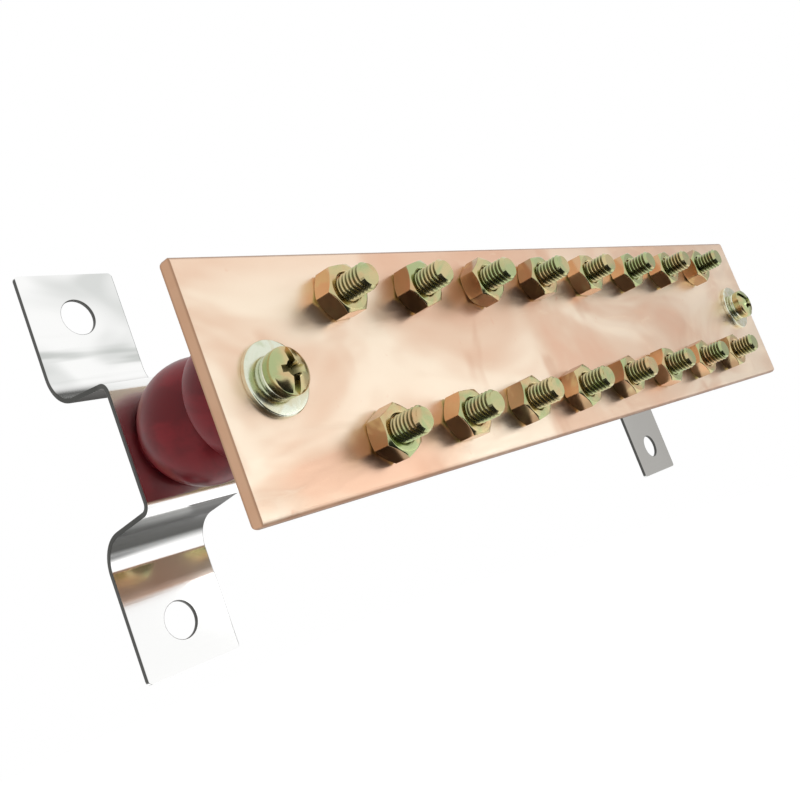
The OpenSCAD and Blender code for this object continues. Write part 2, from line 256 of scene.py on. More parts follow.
class Net:
    """Makes the nodes of one tree."""

    def __init__(self, tree):
        self.tree = tree

    def node(self, kind, settings=None, values=None, out=0):
        """A node of this kind: its settings first, then values or links for its sockets."""
        made = self.tree.nodes.new(kind)
        for key, value in (settings or {}).items():
            setattr(made, key, value)
        for key, value in (values or {}).items():
            if isinstance(value, Term):
                self.tree.links.new(value.socket, made.inputs[key])
            elif value is not None:
                made.inputs[key].default_value = value
        return Term(self, made.outputs[out]) if made.outputs else made

    def maths(self, operation, *terms):
        return self.node("ShaderNodeMath", {"operation": operation}, dict(enumerate(terms)))

    def clamp(self, value, low=0.0, high=1.0):
        return self.node("ShaderNodeClamp", None, {0: value, 1: low, 2: high})

    def ramp(self, value, start, end):
        """0 below start and 1 above end, eased in between."""
        return self.node("ShaderNodeMapRange", {"interpolation_type": "SMOOTHSTEP"},
                         {"Value": value, "From Min": start, "From Max": end})

    def mix(self, amount, first, second):
        """Colour between two colours."""
        shades = [c if isinstance(c, Term) else (*c, 1.0) for c in (first, second)]
        return self.node("ShaderNodeMix", {"data_type": "RGBA"}, {0: amount, 6: shades[0], 7: shades[1]}, 2)

    def layers(self, tone, *upper):
        """Colour under others, each laid over it where its mask says."""
        for mask, colour_over in upper:
            tone = self.mix(mask, tone, colour_over)
        return tone

    def split(self, vector):
        """X of a vector, whose node also holds its Y and Z."""
        return self.node("ShaderNodeSeparateXYZ", None, {"Vector": vector})

    def across(self, vector, factor):
        """Vector multiplied part by part."""
        return self.node("ShaderNodeVectorMath", {"operation": "MULTIPLY"}, {0: vector, 1: factor})

    def noise(self, vector, scale, detail=3.0, roughness=0.5, distortion=0.0):
        return self.node("ShaderNodeTexNoise", None,
                         {"Vector": vector, "Scale": scale, "Detail": detail,
                          "Roughness": roughness, "Distortion": distortion})

    def bump(self, height, strength, depth, under=None):
        """Surface direction after this height is pressed into the one under it."""
        return self.node("ShaderNodeBump", None, {
            "Strength": strength, "Distance": depth, "Height": height, "Normal": under})


def blank_tree(owner):
    """Emptied node tree of a material or world."""
    owner.use_nodes = True
    owner.node_tree.nodes.clear()
    return Net(owner.node_tree)


def geometry_tree(name, inputs):
    """Geometry tree with named inputs, given as label and kind of socket. Returns it and its inputs."""
    tree = bpy.data.node_groups.new(name, "GeometryNodeTree")
    tree.interface.new_socket("Geometry", in_out="INPUT", socket_type="NodeSocketGeometry")
    tree.interface.new_socket("Geometry", in_out="OUTPUT", socket_type="NodeSocketGeometry")
    for label, kind in inputs.items():
        tree.interface.new_socket(label, in_out="INPUT", socket_type="NodeSocket" + kind)
    net = Net(tree)
    entry = net.node("NodeGroupInput")
    return net, {label: entry.out(label) for label in ("Geometry", *inputs)}


def close_tree(net, geometry, material):
    """Ends a tree in real geometry with its material."""
    real = net.node("GeometryNodeRealizeInstances", None, {"Geometry": geometry})
    done = net.node("GeometryNodeSetMaterial", None, {"Geometry": real, "Material": material})
    net.node("NodeGroupOutput", None, {"Geometry": done})
    return net.tree


def grid_places(net, around, rows):
    """Grid to be rolled into a tube, with each point's column, row and angle."""
    grid = net.node("GeometryNodeMeshGrid", None, {
        "Size X": 1.0, "Size Y": 1.0, "Vertices X": around + 1, "Vertices Y": rows})
    index = net.node("GeometryNodeInputIndex")
    column = net.maths("FLOOR", (index + 0.5) / rows)
    row = index - column * rows
    return grid, column, row, column / around * tau


def rolled(net, grid, radius, angle, height):
    """The grid laid out on circles of this radius, with its seam closed."""
    place = net.node("ShaderNodeCombineXYZ", None, {
        "X": radius * net.maths("COSINE", angle),
        "Y": radius * net.maths("SINE", angle),
        "Z": height})
    moved = net.node("GeometryNodeSetPosition", None, {"Geometry": grid, "Position": place})
    return net.node("GeometryNodeMergeByDistance", None, {"Geometry": moved, "Distance": MERGE_DISTANCE})


def threaded_rod_tree(name):
    """Rod with a helical thread up to its tapered tip, joined to the head it is given."""
    net, given = geometry_tree(name, {
        "Radius": "Float", "Pitch": "Float", "Depth": "Float", "Start": "Float", "Length": "Float",
        "Tip Radius": "Float", "Lead": "Float", "Sides": "Int", "Head": "Object", "Material": "Material"})
    flank_steepness, end_step = 1.35, 0.15 * MM
    turns = net.maths("CEIL", given["Length"] / given["Pitch"])
    rows = (turns + 1) * ROWS_PER_TURN + 1
    grid, column, row, angle = grid_places(net, given["Sides"], rows)
    along = (row / ROWS_PER_TURN + column / given["Sides"] - 1) * given["Pitch"]
    height = net.clamp(along, 0.0, given["Length"])
    wave = abs(net.maths("FRACT", row / ROWS_PER_TURN) - 0.5) * 2
    crest = net.clamp((wave - 0.5) * flank_steepness + 0.5)
    root_radius = given["Radius"] - given["Depth"]
    thread = root_radius + given["Depth"] * crest
    taper = given["Tip Radius"] + (given["Length"] - height) * (
        (given["Radius"] - given["Tip Radius"]) / given["Lead"])
    inner = net.maths("GREATER_THAN", row, rows - 1.5) * end_step
    outside = net.maths("MINIMUM", thread, taper)
    radius = net.maths("MINIMUM", outside, root_radius + height * 2) - inner
    above = net.maths("GREATER_THAN", row, 0.5)
    tube = rolled(net, grid, radius, angle, above * (given["Start"] + height))
    head = net.node("GeometryNodeObjectInfo", None, {"Object": given["Head"]}, "Geometry")
    whole = net.node("GeometryNodeJoinGeometry", None, {"Geometry": tube})
    net.tree.links.new(head.socket, whole.socket.node.inputs[0])
    return close_tree(net, whole, given["Material"])


def turned_body_tree(name):
    """Body of revolution: the points of the profile object, as radius and height, turned about Z."""
    net, given = geometry_tree(name, {
        "Profile": "Object", "Sides": "Int", "Material": "Material"})
    profile = net.node("GeometryNodeObjectInfo", None, {"Object": given["Profile"]}, "Geometry")
    rows = net.node("GeometryNodeAttributeDomainSize", {"component": "MESH"}, {"Geometry": profile},
                    "Point Count")
    grid, column, row, angle = grid_places(net, given["Sides"], rows)
    place = net.node("GeometryNodeInputPosition")
    point = net.node("GeometryNodeSampleIndex", {"data_type": "FLOAT_VECTOR", "domain": "POINT"},
                     {"Geometry": profile, "Value": place, "Index": row})
    parts = net.split(point)
    body = rolled(net, grid, parts, angle, parts.out("Z"))
    return close_tree(net, body, given["Material"])


def placing_tree(name):
    """One copy of a piece at each point, turned by the point's own angles."""
    net, given = geometry_tree(name, {"Piece": "Object", "Material": "Material"})
    piece = net.node("GeometryNodeObjectInfo", {"transform_space": "ORIGINAL"},
                     {"Object": given["Piece"], "As Instance": True}, "Geometry")
    turn = net.node("GeometryNodeInputNamedAttribute", {"data_type": "FLOAT_VECTOR"}, {"Name": "turn"})
    copies = net.node("GeometryNodeInstanceOnPoints", None, {
        "Points": given["Geometry"], "Instance": piece, "Rotation": turn})
    return close_tree(net, copies, given["Material"])


# --- meshes

def show(name, data):
    """Object at the origin for this mesh, lamp or camera."""
    piece = bpy.data.objects.new(name, data)
    bpy.context.scene.collection.objects.link(piece)
    return piece


def mesh_of(name, points, faces=()):
    mesh = bpy.data.meshes.new(name)
    mesh.from_pydata(points, [], faces)
    return mesh


def show_body(name, body):
    """Object for what a bmesh holds, which is then freed."""
    mesh = bpy.data.meshes.new(name)
    body.to_mesh(mesh)
    body.free()
    return show(name, mesh)


def settle(piece):
    """Turns what the piece's modifiers make into its plain mesh, and removes them."""
    depsgraph = bpy.context.evaluated_depsgraph_get()
    mesh = bpy.data.meshes.new_from_object(piece.evaluated_get(depsgraph), depsgraph=depsgraph)
    piece.modifiers.clear()
    piece.data = mesh
    return piece


def grow(name, start, maker, values):
    """Plain piece that a geometry tree, made once, makes with these values of its named inputs."""
    label = maker.__name__.removesuffix("_tree").replace("_", " ").capitalize()
    tree = bpy.data.node_groups.get(label) or maker(label)
    piece = show(name, start)
    modifier = piece.modifiers.new(tree.name, "NODES")
    modifier.node_group = tree
    for item in tree.interface.items_tree:
        if item.in_out == "INPUT" and item.name in values:
            modifier[item.identifier] = values[item.name]
    return settle(piece)


def drop(*helpers):
    """Removes helper objects that aren't part of the scene."""
    for helper in helpers:
        bpy.data.objects.remove(helper, do_unlink=True)


def close_up(piece):
    """Merges doubled points, closes open ends and turns faces outwards."""
    body = bmesh.new()
    body.from_mesh(piece.data)
    bmesh.ops.remove_doubles(body, verts=body.verts, dist=MERGE_DISTANCE)
    bmesh.ops.holes_fill(body, edges=body.edges, sides=0)
    bmesh.ops.recalc_face_normals(body, faces=body.faces)
    body.to_mesh(piece.data)
    body.free()
    return piece


def soften(piece, width, angle=28.0):
    """Rounds the edges sharper than this angle and shades the rest flat and true."""
    bevel = piece.modifiers.new("edges", "BEVEL")
    bevel.width = width
    bevel.segments = 2
    bevel.limit_method = "ANGLE"
    bevel.angle_limit = radians(angle)
    bevel.miter_outer = "MITER_ARC"
    piece.data.shade_smooth()
    normals = piece.modifiers.new("shading", "WEIGHTED_NORMAL")
    normals.weight = 100
    normals.keep_sharp = True
    return settle(piece)


def shade(piece, angle=35.0):
    """Smooth shading, broken at edges sharper than this angle."""
    piece.data.shade_smooth()
    piece.data.set_sharp_from_angle(angle=radians(angle))
    return piece


def loft(name, rings, closed=False, capped=False):
    """Surface through rings of equal counts of points, joined end to end or capped if asked for."""
    body = bmesh.new()
    made = [[body.verts.new(p) for p in ring] for ring in rings]
    pairs = list(zip(made, made[1:])) + ([(made[-1], made[0])] if closed else [])
    for low, high in pairs:
        for i in range(len(low)):
            j = (i + 1) % len(low)
            body.faces.new((low[i], low[j], high[j], high[i]))
    if capped:
        body.faces.new(made[0][::-1])
        body.faces.new(made[-1])
    return close_up(show_body(name, body))


def ring(radius, height, count):
    """Points of a level circle; radius or height may be a function of the angle."""
    points = []
    for i in range(count):
        angle = tau * i / count
        r = radius(angle) if callable(radius) else radius
        h = height(angle) if callable(height) else height
        points.append(Vector((r * cos(angle), r * sin(angle), h)))
    return points


def hexagon(name, height, cut, bore=None, sink=None):
    """Hexagon prism with a corner on +X and its lower corners turned off.

    With a bore, both ends are turned off and countersunk."""
    face = HEX_FLATS / 2 - cut

    def wall(angle):
        return HEX_FLATS / 2 / cos(angle % radians(60) - radians(30))

    def fall(angle):
        return (wall(angle) - face) * tan(CORNER_SLOPE)

    outline = [(face, 0.0), (wall, fall), (wall, height)]
    if bore:
        outline = [(bore, sink - bore), (sink, 0.0), (face, 0.0), (wall, fall),
                   (wall, lambda angle: height - fall(angle)), (face, height),
                   (sink, height), (bore, height - (sink - bore))]
    return loft(name, [ring(r, h, HEX_FACETS) for r, h in outline], closed=bool(bore))


def rounded(points, radii):
    """Profile with each corner replaced by an arc of its own radius."""
    done = []
    for i, (corner, radius) in enumerate(zip(points, radii)):
        before, after = points[i - 1], points[(i + 1) % len(points)]
        a, b = (before - corner).normalized(), (after - corner).normalized()
        half = a.angle(b) / 2
        reach = radius / tan(half)
        centre = corner + (a + b).normalized() * radius / sin(half)
        start, end = corner + a * reach - centre, corner + b * reach - centre
        done += [centre + start.slerp(end, step / 5) * radius for step in range(6)]
    return done


def turned(name, profile, sides, material, closed=True):
    """Body of revolution from a profile of (radius, height) points."""
    points = list(profile) + ([profile[0]] if closed else [])
    guide = show(name + "_profile", mesh_of(name + "_profile", [(r, 0.0, h) for r, h in points]))
    body = grow(name, mesh_of(name, []), turned_body_tree,
                {"Profile": guide, "Sides": sides, "Material": material})
    drop(guide)
    return close_up(body)


def facing(node, plane, turn=0.0, to_wall=False):
    """Place on a node's axis at this depth, with the piece's +Z towards the front or the wall."""
    x, z = axis_of(node)
    way = -1 if to_wall else 1
    return Vector((x, plane, z)), Vector((radians(90) * way, -turn * way, 0.0))


def placed(name, piece, places, material):
    """One plain piece made of a copy at each place."""
    mesh = mesh_of(name, [place for place, _ in places])
    turns = mesh.attributes.new("turn", "FLOAT_VECTOR", "POINT")
    for item, (_, turn) in zip(turns.data, places):
        item.vector = turn
    copies = grow(name, mesh, placing_tree,
                  {"Piece": piece, "Material": material})
    drop(piece)
    return copies


def from_frame(name, node, material, width):
    """Merged copy of a frame node with its edges rounded."""
    body = bmesh.new()
    body.from_mesh(frame["nodes"][node].data)
    bmesh.ops.remove_doubles(body, verts=body.verts, dist=0.001 * MM)
    bmesh.ops.dissolve_limit(body, angle_limit=radians(0.5), verts=body.verts, edges=body.edges)
    piece = soften(show_body(name, body), width, 40.0)
    piece.data.materials.clear()
    piece.data.materials.append(material)
    return piece


def stand_in(piece, slot, *nodes):
    """Hands the piece to the frame in place of these nodes."""
    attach(piece, "root")
    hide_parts(*nodes)


# --- finishes

def surface(build, name=None, **options):
    """Material made once: build gets its tree and gives the sockets of its shader."""
    name = name or build.__name__
    material = bpy.data.materials.get(name)
    if not material:
        material = bpy.data.materials.new(name)
        net = blank_tree(material)
        place = net.node("ShaderNodeTexCoord").out("Object")
        sockets = build(net, place, bpy.context.scene.busbar_finishes, **options)
        shader = net.node("ShaderNodeBsdfPrincipled", None, sockets)
        net.node("ShaderNodeOutputMaterial", None, {"Surface": shader})
    return material


def metal(tone, rough, normal):
    return {"Base Color": tone, "Metallic": 1.0, "Roughness": rough, "Normal": normal}


def polished_copper(net, place, tint):
    parts = net.split(place)
    up = parts.out("Z")
    clouds = net.noise(net.across(place, (0.55, 1.0, 1.0)), 34.0, 3.0, 0.5, 0.9)
    wisps = net.noise(net.across(place, (0.5, 1.0, 1.6)), 90.0, 4.0, 0.6, 1.4)
    blots = net.noise(place, 260.0, 2.0, 0.6)
    smudges = net.noise(net.across(place, (0.9, 1.0, 0.7)), 62.0, 2.0, 0.5, 0.5)
    rolled_lines = net.noise(net.across(place, (6.0, 200.0, 900.0)), 1.0, 3.0, 0.6)
    edge = net.ramp(abs(up), BAR_HIGH.z - 0.9 * MM, BAR_HIGH.z - 0.3 * MM)
    edge = net.clamp(edge * (0.8 + blots * 0.4))
    sawn = net.ramp(abs(parts), BAR_HIGH.x - 0.25 * MM, BAR_HIGH.x - 0.05 * MM)
    rim = net.ramp(abs(parts.out("Y") - BAR_MIDDLE), 0.8 * MM, 1.4 * MM)
    tone = net.layers(
        tint.copper,
        # painted reflection: the pale and deep clouds and the pale wisps stand in for the room mirrored in
        # the polished face; the blots and smudges are the bar's own spots and stains, and the top of the
        # face is deeper copper
        (net.ramp(clouds, 0.40, 0.60), tint.copper_pale),
        (net.ramp(clouds, 0.44, 0.30) * 0.5, tint.copper_deep),
        (net.ramp(wisps, 0.58, 0.74) * 0.35, tint.copper_pale),
        (net.ramp(blots, 0.66, 0.80) * 0.5, tint.copper_deep),
        (net.ramp(smudges, 0.60, 0.76) * 0.5, tint.copper_stain),
        (net.ramp(up, 16.0 * MM, 24.0 * MM) * 0.3, tint.copper_deep),
        # painted shade: the long edges and the front and back rims of the sawn ends are darkened
        (edge * 0.9, tint.copper_edge),
        (sawn * 0.9, net.mix(rim * 0.6, tint.copper_sawn, tint.copper_edge)))
    rough = 0.30 + net.ramp(wisps, 0.4, 0.75) * 0.10 + sawn * 0.10 + edge * 0.05
    waves = net.bump(clouds + wisps * 0.25, 0.35, 0.4 * MM)
    return metal(tone, rough, net.bump(rolled_lines, 0.12, 0.02 * MM, waves))


def yellow_zinc(net, place, tint, grooved=False, flats=0.0):
    """Passivated zinc; flats is the share of painted reflection, copper-orange and dark brown, on the sides
    of a nut.
    """
    drift = net.noise(place, 95.0, 3.0, 0.55, 0.8)
    patches = net.noise(place, 190.0, 2.0, 0.5, 0.4)
    grain = net.noise(place, 2600.0, 2.0, 0.6)
    tone = net.layers(tint.zinc_green,
                      (net.ramp(drift, 0.42, 0.62), tint.zinc_yellow),
                      (net.ramp(patches, 0.50, 0.72) * 0.6, tint.zinc_orange))
    if flats:
        # painted reflection: faces that don't face the front get brown and orange, for the copper bar and
        # dark room they mirror
        direction = net.split(net.node("ShaderNodeNewGeometry").out("Normal"))
        side = net.ramp(abs(direction.out("Y")), 0.75, 0.35)
        lots = net.noise(net.across(place, (1.0, 1.0, 0.6)), 42.0, 1.0, 0.4)
        flat_reflection = net.layers(tint.zinc_brown,
                            (net.ramp(lots, 0.44, 0.56), tint.zinc_orange),
                            (net.ramp(drift, 0.54, 0.66) * 0.6, tint.zinc_yellow))
        tone = net.mix(side * flats, tone, flat_reflection)
    rough = 0.11 + patches * 0.10 + grain * 0.04
    if grooved:
        groove = net.node("ShaderNodeAttribute", {"attribute_name": "groove"}, None, "Fac")
        # painted shade: thread roots and the driver recess are darkened by their depth
        tone = net.mix(net.ramp(groove, 0.12, 0.75) * 0.9, tone, tint.thread_root)
        rough = rough + groove * 0.12
    return metal(tone, rough, net.bump(grain + patches * 2, 0.15, 0.02 * MM))


def pale_zinc(net, place, tint):
    drift = net.noise(place, 160.0, 3.0, 0.55, 0.5)
    grain = net.noise(place, 2200.0, 2.0, 0.6)
    tone = net.layers(tint.zinc_pale,
                      (net.ramp(drift, 0.45, 0.65) * 0.6, tint.zinc_yellow),
                      (net.ramp(drift, 0.46, 0.32) * 0.4, tint.zinc_green))
    return metal(tone, 0.13 + grain * 0.08 + drift * 0.06, net.bump(grain, 0.12, 0.02 * MM))


def polished_stainless(net, place, tint):
    """Drawn sheet with painted reflections: grey clouds on its ears, grey bands near its bends and dark
    legs; darker where it is sheared or punched, partly painted shade.
    """
    parts = net.split(place)
    depth, up = parts.out("Y"), parts.out("Z")
    high, from_axis = abs(up), abs(abs(parts) - BRACKET_X)
    strokes = net.noise(net.across(place, (10.0, 900.0, 900.0)), 1.0, 3.0, 0.65)
    bands = net.noise(net.across(place, (18.0, 260.0, 260.0)), 1.0, 2.0, 0.5, 0.3)
    clouds = net.noise(net.across(place, (0.7, 1.0, 1.3)), 55.0, 1.5, 0.45, 0.8)
    waves = net.noise(place, 26.0, 1.0, 0.4)
    ear = net.ramp(up, 0.0, 4.0 * MM)
    near_bend = net.ramp(high, 19.0 * MM, 23.0 * MM) * net.ramp(high, 31.0 * MM, 26.0 * MM)
    streaks = net.ramp(bands, 0.50, 0.62) * near_bend
    # painted reflection: dark legs, fading darker from the raised middle towards the feet
    leg = (net.ramp(depth, LEG_FRONT, LEG_FRONT + 1.5 * MM)
           * net.ramp(depth, LEG_BACK, LEG_BACK - 1.5 * MM))
    drift = (bands - 0.5) * 8.0 * MM
    leg_shade_fade = net.ramp(depth + drift, LEG_FRONT, LEG_BACK - 5.0 * MM)
    # partly painted shade: dark sheared edges and punched hole walls
    sheared = net.ramp(from_axis, BRACKET.x / 2 - 0.22 * MM, BRACKET.x / 2 - 0.06 * MM)
    off_hole = net.node("ShaderNodeCombineXYZ", None, {"X": from_axis, "Y": high - WALL_HOLE_Z})
    to_hole = net.node("ShaderNodeVectorMath", {"operation": "LENGTH"}, {"Vector": off_hole}, "Value")
    punched = net.ramp(to_hole, WALL_HOLE_RADIUS + 0.18 * MM, WALL_HOLE_RADIUS + 0.04 * MM)
    cut = net.maths("MAXIMUM", sheared, punched)
    web = net.ramp(depth, WEB_FRONT + 0.6 * MM, WEB_FRONT + 0.2 * MM)
    tone = net.layers(
        tint.steel,
        # painted reflection: grey clouds on the ears and grey bands near the bends, then the right bracket
        # made duller grey all over
        (net.ramp(clouds, 0.42, 0.74) * ear * 0.6, tint.steel_dull),
        (streaks * ear * 0.8, tint.steel_dull),
        (net.ramp(parts, 0.0, BRACKET_X) * 0.75, tint.steel_dull),
        (leg * 0.96, net.mix(leg_shade_fade, tint.leg_front, tint.leg_back)),
        (cut, tint.steel_cut))
    rough = 0.06 + strokes * 0.06 + cut * 0.25 + leg * 0.22 + web * 0.14
    drawn = net.bump(strokes + bands * 2, 0.05, 0.04 * MM)
    return metal(tone, rough, net.bump(waves, 0.6, 0.9 * MM, drawn))


def moulded_maroon(net, place, tint):
    flow = net.noise(place, 120.0, 3.0, 0.55, 0.6)
    grain = net.noise(place, 1500.0, 2.0, 0.6)
    deep = [part * 0.75 for part in tint.maroon]
    lighter = [min(1.0, part * 1.25) for part in tint.maroon]
    return {"Base Color": net.mix(net.ramp(flow, 0.35, 0.65), deep, lighter),
            "Roughness": 0.26 + flow * 0.10, "Specular IOR Level": 0.22,
            "Normal": net.bump(grain + flow * 3, 0.08, 0.05 * MM)}


def turned_brass(net, place, tint):
    rings = net.noise(net.across(place, (60.0, 2400.0, 60.0)), 1.0, 3.0, 0.6)
    deep = [part * 0.7 for part in tint.brass]
    return metal(net.mix(net.ramp(rings, 0.35, 0.65), deep, tint.brass),
                 0.25 + rings * 0.12, net.bump(rings, 0.15, 0.03 * MM))


# --- operators

class BUSBAR_OT_bar(Operator):
    """Punched copper bar with polished faces and painted shade along its edges"""
    bl_idname = "busbar.bar"
    bl_label = "Copper bar"

    def execute(self, context):
        piece = from_frame("copper_bar_polished", "copper_bar", surface(polished_copper), 0.15 * MM)
        stand_in(piece, "copper", "copper_bar")
        return {"FINISHED"}


class BUSBAR_OT_brackets(Operator):
    """Folded stainless brackets with rounded sheet edges"""
    bl_idname = "busbar.brackets"
    bl_label = "Brackets"

    def execute(self, context):
        for side in SIDES:
            node = "bracket_" + side
            piece = from_frame(node + "_sheet", node, surface(polished_stainless), 0.12 * MM)
            stand_in(piece, "bracket_steel", node)
        return {"FINISHED"}


class BUSBAR_OT_insulators(Operator):
    """Moulded insulators with two swollen rings and a groove, and their brass inserts"""
    bl_idname = "busbar.insulators"
    bl_label = "Insulators"

    def execute(self, context):
        sizes = context.scene.busbar_insulators
        maroon = surface(moulded_maroon)
        body = shade(turned("insulators", insulator_profile(sizes), sizes.around, maroon), 50.0)
        nodes = named("insulator_")
        places = [facing(node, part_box(node)[1].y) for node in nodes]
        stand_in(placed("insulators_moulded", body, places, maroon), "insulator_red", *nodes)
        for node in named("insert_"):
            slots = frame["nodes"][node].data.materials
            slots.clear()
            slots.append(surface(turned_brass))
        return {"FINISHED"}


def insulator_profile(sizes):
    """Profile of the moulded body from its pocket outwards, as radius and height above the bracket."""
    height = INSULATOR.y
    insert = size_of("insert_back_left")
    pocket, deep = insert.x / 2 + CLEARANCE, insert.y
    soft = 0.4 * MM
    collar, waist = sizes.collar_radius, sizes.waist_radius
    low, high = (sizes.groove_distance + sign * sizes.groove_height / 2 for sign in (-1, 1))
    front = height - sizes.front_collar
    end = [(0.0, deep), (pocket, deep), (pocket, 0.0), (collar - soft, 0.0),
           (collar - soft / 4, soft / 4), (collar, soft)]
    return (end + [(collar, sizes.back_collar)]
            + swollen_ring(sizes, sizes.back_collar, low)
            + [(waist + soft / 2, low), (waist, low + soft / 2),
               (waist, high - soft / 2), (waist + soft / 2, high)]
            + swollen_ring(sizes, high, front)
            + [(collar, front)] + [(r, height - h) for r, h in reversed(end)])


def swollen_ring(sizes, low, high):
    """Profile of a ring between two heights: a slice of a ball whose rims are rounded."""
    ball, fillet = INSULATOR.x / 2, sizes.rim_fillet
    middle = (low + high) / 2
    fillet_h = (high - low) / 2 - fillet
    fillet_r = sqrt((ball - fillet) ** 2 - fillet_h ** 2)
    lean = asin(fillet_h / (ball - fillet))
    turns = [radians(-90) + (radians(90) - lean) * i / 8 for i in range(9)]
    rim = [(fillet_r + fillet * cos(a), middle - fillet_h + fillet * sin(a)) for a in turns]
    bulge = [(ball * cos(a), middle + ball * sin(a))
             for a in (-lean + 2 * lean * i / 24 for i in range(1, 24))]
    return rim + bulge + [(r, 2 * middle - h) for r, h in reversed(rim)]


class BUSBAR_OT_bolts(Operator):
    """Hexagon bolts put through from behind, with their threads standing out in front"""
    bl_idname = "busbar.bolts"
    bl_label = "Bolts"

    def execute(self, context):
        sizes = context.scene.busbar_fasteners
        material = surface(yellow_zinc, "zinc_on_bolts", grooved=True)
        reach, head_height = BAR_HIGH.y - BOLT_LOW.y, BOLT_HIGH.y - BAR_HIGH.y
        head = hexagon("bolt_head", head_height, sizes.corner_cut)
        head.data.transform(Matrix.Translation((0.0, 0.0, -head_height)))
        soften(head, sizes.edge_round)
        start = BAR_HIGH.y - BAR_LOW.y + NUT.y - THREAD_IN_NUT
        bolt = grow("bolt", mesh_of("bolt", []), threaded_rod_tree, {
            "Radius": STUD_RADIUS, "Pitch": sizes.thread_pitch, "Depth": sizes.thread_depth,
            "Start": start, "Length": reach - start, "Tip Radius": sizes.tip_radius,
            "Lead": sizes.tip_lead, "Sides": sizes.thread_sides, "Head": head, "Material": material})
        drop(head)
        tip = reach - sizes.tip_lead
        note_depth(close_up(bolt), lambda radius, height: (
            (STUD_RADIUS - radius) / sizes.thread_depth if start < height <= tip else 0.0))
        nodes = named("bolt_")
        places = [facing(node, BAR_HIGH.y, corner_turn(node)) for node in nodes]
        stand_in(placed("bolts_threaded", bolt, places, material), "yellow_zinc_bolt", *nodes)
        return {"FINISHED"}


def note_depth(piece, depth):
    """Notes on each point how deep it lies, from 0 to 1, given as a function of radius and height."""
    notes = piece.data.attributes.new("groove", "FLOAT", "POINT")
    for item, vertex in zip(notes.data, piece.data.vertices):
        x, y, z = vertex.co
        item.value = min(1.0, max(0.0, depth(hypot(x, y), z)))


class BUSBAR_OT_nuts(Operator):
    """Hexagon nuts with turned corners and countersunk bores"""
    bl_idname = "busbar.nuts"
    bl_label = "Nuts"

    def execute(self, context):
        sizes = context.scene.busbar_fasteners
        material = surface(yellow_zinc, "zinc_on_nuts", flats=0.8)
        nut = hexagon("nut", NUT.y, sizes.corner_cut, STUD_RADIUS + CLEARANCE, sizes.countersink)
        soften(nut, sizes.edge_round)
        nodes = named("nut_")
        places = [facing(node, BAR_LOW.y, corner_turn(node)) for node in nodes]
        stand_in(placed("nuts_hexagon", nut, places, material), "yellow_zinc_nut", *nodes)
        return {"FINISHED"}


class BUSBAR_OT_screws(Operator):
    """Pan head screws with a straight slot through a cross recess"""
    bl_idname = "busbar.screws"
    bl_label = "Pan head screws"

    def execute(self, context):
        material = surface(yellow_zinc, "zinc_on_screws", grooved=True)
        places = []
        for node, turn in DRIVER_TURNS.items():
            to_wall = node.startswith("bracket")
            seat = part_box(node.replace("screw", "spring_washer"))[1 if to_wall else 0].y
            places.append(facing(node, seat, radians(turn), to_wall))
        head = pan_head(context.scene.busbar_fasteners, material)
        stand_in(placed("pan_screws", head, places, material), "yellow_zinc_screw", *DRIVER_TURNS)
        return {"FINISHED"}


def pan_head(sizes, material):
    """Screw with its head above zero and a plain shank below it."""
    radius = size_of("end_screw_left").x / 2
    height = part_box("end_spring_washer_left")[0].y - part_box("end_screw_left")[0].y
    rim, dome = sizes.rim_radius, sizes.dome_radius
    rim_r, rim_h, dome_h = radius - rim, height - rim, height - dome

    def outside(r):
        """Height of the uncut head at this radius."""
        top = dome_h + sqrt(max(0.0, dome ** 2 - r ** 2))
        if r > rim_r:
            top = min(top, rim_h + sqrt(max(0.0, rim ** 2 - (r - rim_r) ** 2)))
        return top

    def recessed(r, h):
        """Share of painted shade in the recess, which starts a little below the dome."""
        inside = h > 0.3 * MM and r < radius - 0.1 * MM
        return (outside(r) - h) / (0.5 * MM) - 0.3 if inside else 0.0

    profile = [(0.0, -SCREW_REACH), (SCREW_RADIUS - 0.5 * MM, -SCREW_REACH),
               (SCREW_RADIUS, -SCREW_REACH + 0.5 * MM), (SCREW_RADIUS, 0.0),
               (radius - 0.25 * MM, 0.0), (radius - 0.07 * MM, 0.07 * MM), (radius, 0.25 * MM)]
    quarter = [radians(90) * i / 24 for i in range(25)]
    arc = [(rim_r + rim * cos(a), rim_h + rim * sin(a)) for a in quarter]
    profile += [(r, h) for r, h in arc if hypot(r, h - dome_h) <= dome]
    inwards = [profile[-1][0] * (1 - i / 12) for i in range(1, 13)]
    profile += [(r, dome_h + sqrt(dome ** 2 - r ** 2)) for r in inwards]
    body = turned("pan_screw", profile, 72, material, closed=False)
    across = radius + 1.0 * MM
    reach, floor = sizes.cross_reach, sizes.cross_floor
    cutters = [slot_cutter(sizes.slot_width, across, across, height, sizes.slot_depth, 90.0)]
    for turn in (0.0, 90.0):
        cutters.append(slot_cutter(sizes.slot_width - 0.1 * MM, reach, floor, height,
                                   sizes.cross_depth, turn))
    core = [(floor - 0.2 * MM, -sizes.cross_depth), (floor + 0.6 * MM, 0.0), (floor + 0.6 * MM, 1.0 * MM)]
    cutters.append(loft("recess_core", [ring(r, height + h, 36) for r, h in core]))
    for cutter in cutters:
        cut = body.modifiers.new("recess", "BOOLEAN")
        cut.operation = "DIFFERENCE"
        cut.solver = "EXACT"
        cut.object = cutter
    settle(body)
    drop(*cutters)
    note_depth(soften(body, 0.10 * MM, 38.0), recessed)
    return body


